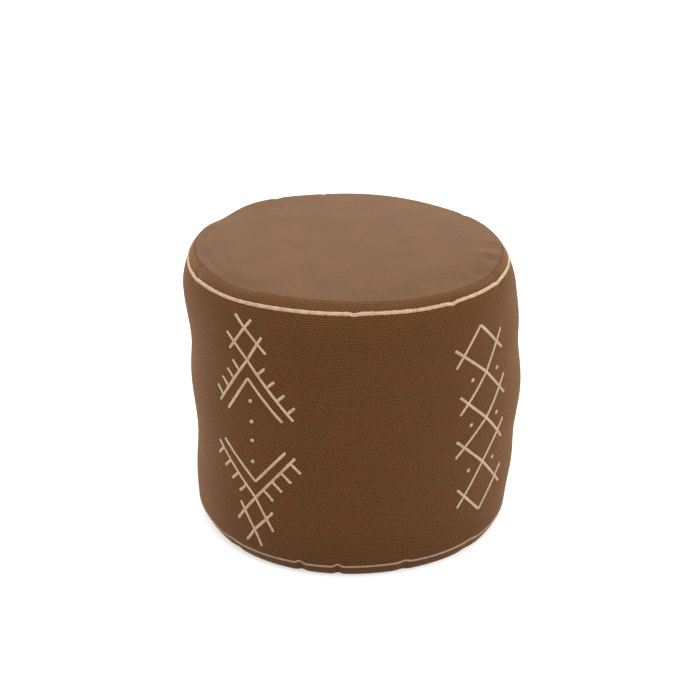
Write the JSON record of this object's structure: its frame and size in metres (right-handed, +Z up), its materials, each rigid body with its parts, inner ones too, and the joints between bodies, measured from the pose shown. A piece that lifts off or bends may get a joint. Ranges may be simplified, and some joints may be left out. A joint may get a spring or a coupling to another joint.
{
  "type": "pouf",
  "caption": "Round drum pouf with a plain canvas top, a woven side band with raised geometric embroidery, a zip in its base and a bead filling.",
  "frame": {"origin": "on the floor at the middle of the base", "axes": "+Z up; -Y faces a double chevron motif, +X a lattice motif (4 degrees towards -Y); the base zip runs along X"},
  "size_m": [0.4516, 0.4516, 0.3916],
  "materials": {
    "band_weave": "coarse dotted weave, matte",
    "top_canvas": "fine plain weave, matte",
    "base_cloth": "plain weave, matte",
    "satin_thread": "satin stitch, soft sheen",
    "seam_thread": "twisted thread, matte",
    "zip_tape": "herringbone tape, matte",
    "zip_teeth": "moulded, satin",
    "zip_metal": "aged, satin",
    "liner_cloth": "thin bag cloth, matte",
    "beads": "loose beads"
  },
  "bodies": {
    "pouf": {"side_band": "band_weave", "top_panel": "top_canvas", "side_seam_thread": "seam_thread", "top_seam_thread": "seam_thread", "base_seam_thread": "seam_thread", "base_panel_front": "base_cloth", "base_panel_rear": "base_cloth", "zip_tape_front": "zip_tape", "zip_tape_rear": "zip_tape", "zip_chain_front": "zip_teeth", "zip_chain_rear": "zip_teeth", "zip_stitch_front": "seam_thread", "zip_stitch_rear": "seam_thread", "zip_top_stop_front": "zip_metal", "zip_top_stop_rear": "zip_metal", "zip_bottom_stop": "zip_metal", "liner_side": "liner_cloth", "liner_top": "liner_cloth", "liner_base": "liner_cloth", "bead_fill": "beads", "top_border_embroidery": "satin_thread", "bottom_border_embroidery": "satin_thread", "chevron_motif_front": "satin_thread", "chevron_motif_back": "satin_thread", "lattice_motif_right": "satin_thread", "lattice_motif_left": "satin_thread"},
    "zip_slider": {"zip_slider": "zip_metal"},
    "zip_puller": {"zip_puller": "zip_metal"}
  },
  "joints": [
    {"name": "zip_slide", "type": "slide", "parent": "pouf", "child": "zip_slider", "axis": [1, 0, 0], "range_m": [0, 0.275], "deforming": ["zip_chain_front", "zip_chain_rear"]},
    {"name": "puller_swing", "type": "hinge", "parent": "zip_slider", "child": "zip_puller", "pos_m": [-0.138, 0, 0.0067], "axis": [0, 1, 0], "range_deg": [0, 170]}
  ]
}
